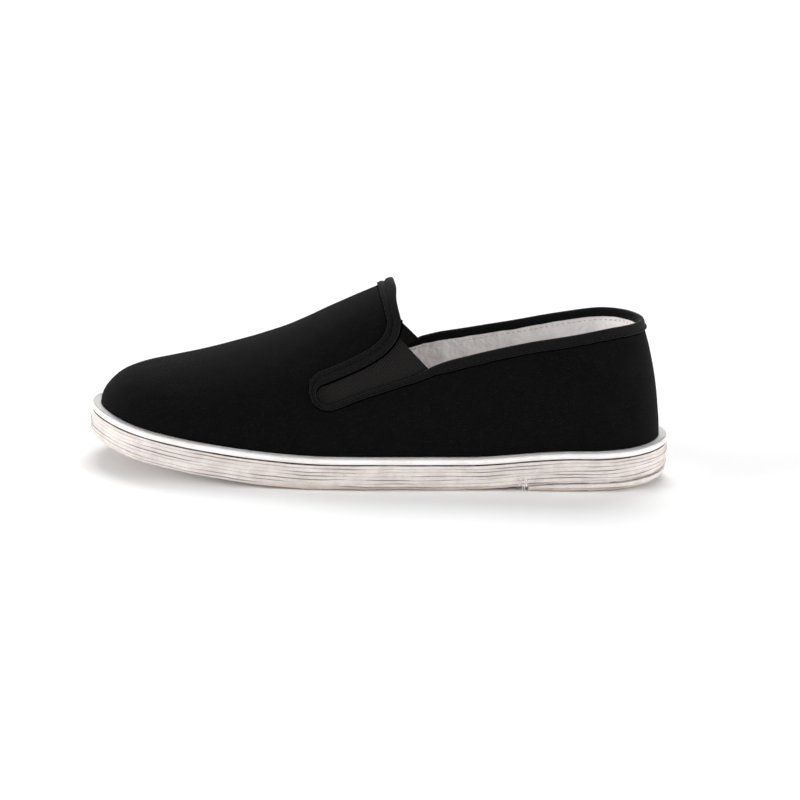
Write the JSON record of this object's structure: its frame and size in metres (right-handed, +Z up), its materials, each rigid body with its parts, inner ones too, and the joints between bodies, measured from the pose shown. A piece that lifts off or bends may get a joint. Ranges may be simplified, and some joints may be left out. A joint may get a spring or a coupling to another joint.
{
  "type": "chinese cloth shoe",
  "caption": "Black cotton slip-on shoe with elastic side gores, bound top line, white lining and a white sole of stacked, quilted cloth plies.",
  "frame": {"origin": "on the floor, under the middle of the sole's length and width", "axes": "toe towards -X, heel towards +X, outer side at -Y, inner side at +Y, +Z up"},
  "size_m": [0.276, 0.0998, 0.0907],
  "materials": {
    "black_cotton": "matte",
    "black_elastic": "matte",
    "insole_cotton": "matte",
    "white_cotton": "matte",
    "ply_cloth": "matte"
  },
  "bodies": {
    "root": {"upper": "black_cotton", "gore_outer": "black_elastic", "gore_inner": "black_elastic", "tongue_hem": "black_cotton", "topline_binding": "black_cotton", "insole": "insole_cotton", "top_ply": "white_cotton", "sole_stack": "ply_cloth", "heel_lift": "ply_cloth"}
  },
  "joints": []
}
